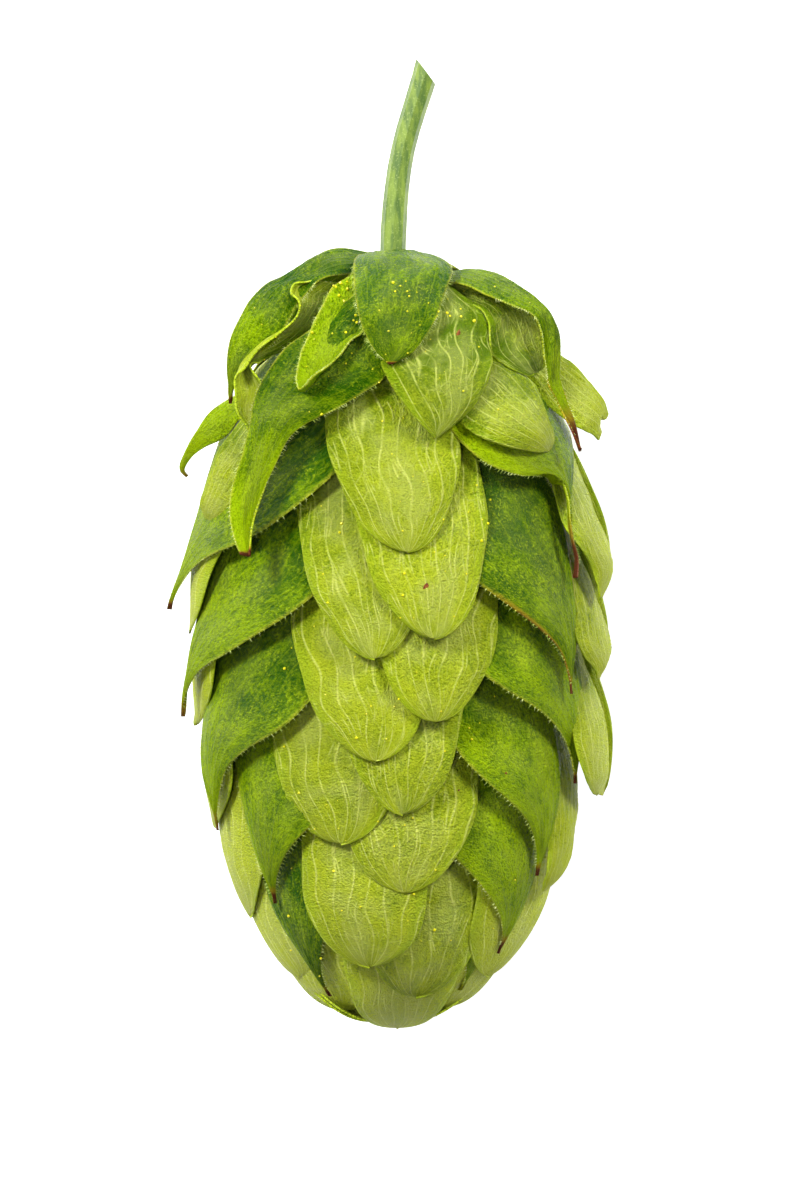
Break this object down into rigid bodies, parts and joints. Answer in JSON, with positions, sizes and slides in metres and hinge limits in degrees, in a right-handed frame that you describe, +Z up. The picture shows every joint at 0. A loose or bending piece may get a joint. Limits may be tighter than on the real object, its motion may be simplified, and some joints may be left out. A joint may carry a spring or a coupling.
{
  "type": "hop cone",
  "caption": "Picked hop cone of overlapping papery green bracts and bracteoles on a short curved cut stem, lying on its side.",
  "frame": {"origin": "bottom centre of the cone and stem together, on the surface it lies on", "axes": "+Y along the cone towards the cut stem, +Z up from the surface, +X to the right seen from above with the stem up"},
  "size_m": [0.0218, 0.05, 0.0201],
  "materials": {
    "bract": "living leaf: dark green, faintly waxy sheen, pale hairs along the margins",
    "bracteole": "papery living leaf: pale yellow green, matt, fine paler veins",
    "stem_skin": "soft green stem with a fine pale fuzz, matt",
    "tip_scales": "closed papery scales, pale yellow green, matt"
  },
  "bodies": {
    "root": {"stem": "stem_skin", "tip_bud": "tip_scales", "hood_bract": "bract", "arched_left_bract": "bract", "folded_left_bracteole": "bracteole", "arched_right_bract": "bract", "shaded_right_bracteole": "bracteole", "tucked_right_bracteole": "bracteole", "notched_right_bracteole": "bracteole", "rear_top_bract": "bract", "left_centre_bracteole_1": "bracteole", "left_front_bract_1": "bract", "left_side_bracteole_1": "bracteole", "left_rear_bract_1": "bract", "left_rear_bracteole_1": "bracteole", "right_centre_bracteole_1": "bracteole", "right_front_bract_1": "bract", "right_side_bracteole_1": "bracteole", "right_rear_bract_1": "bract", "right_rear_bracteole_1": "bracteole", "left_centre_bracteole_2": "bracteole", "left_front_bract_2": "bract", "left_side_bracteole_2": "bracteole", "left_rear_bract_2": "bract", "left_rear_bracteole_2": "bracteole", "right_centre_bracteole_2": "bracteole", "right_front_bract_2": "bract", "right_side_bracteole_2": "bracteole", "right_rear_bract_2": "bract", "right_rear_bracteole_2": "bracteole", "left_centre_bracteole_3": "bracteole", "left_front_bract_3": "bract", "left_side_bracteole_3": "bracteole", "left_rear_bract_3": "bract", "left_rear_bracteole_3": "bracteole", "right_centre_bracteole_3": "bracteole", "right_front_bract_3": "bract", "right_side_bracteole_3": "bracteole", "right_rear_bract_3": "bract", "right_rear_bracteole_3": "bracteole", "left_centre_bracteole_4": "bracteole", "left_front_bract_4": "bract", "left_side_bracteole_4": "bracteole", "left_rear_bract_4": "bract", "left_rear_bracteole_4": "bracteole", "right_centre_bracteole_4": "bracteole", "right_front_bract_4": "bract", "right_side_bracteole_4": "bracteole", "right_rear_bract_4": "bract", "right_rear_bracteole_4": "bracteole", "left_centre_bracteole_5": "bracteole", "left_front_bract_5": "bract", "left_side_bracteole_5": "bracteole", "left_rear_bract_5": "bract", "left_rear_bracteole_5": "bracteole", "right_centre_bracteole_5": "bracteole", "right_front_bract_5": "bract", "right_side_bracteole_5": "bracteole", "right_rear_bract_5": "bract", "right_rear_bracteole_5": "bracteole"}
  },
  "joints": []
}
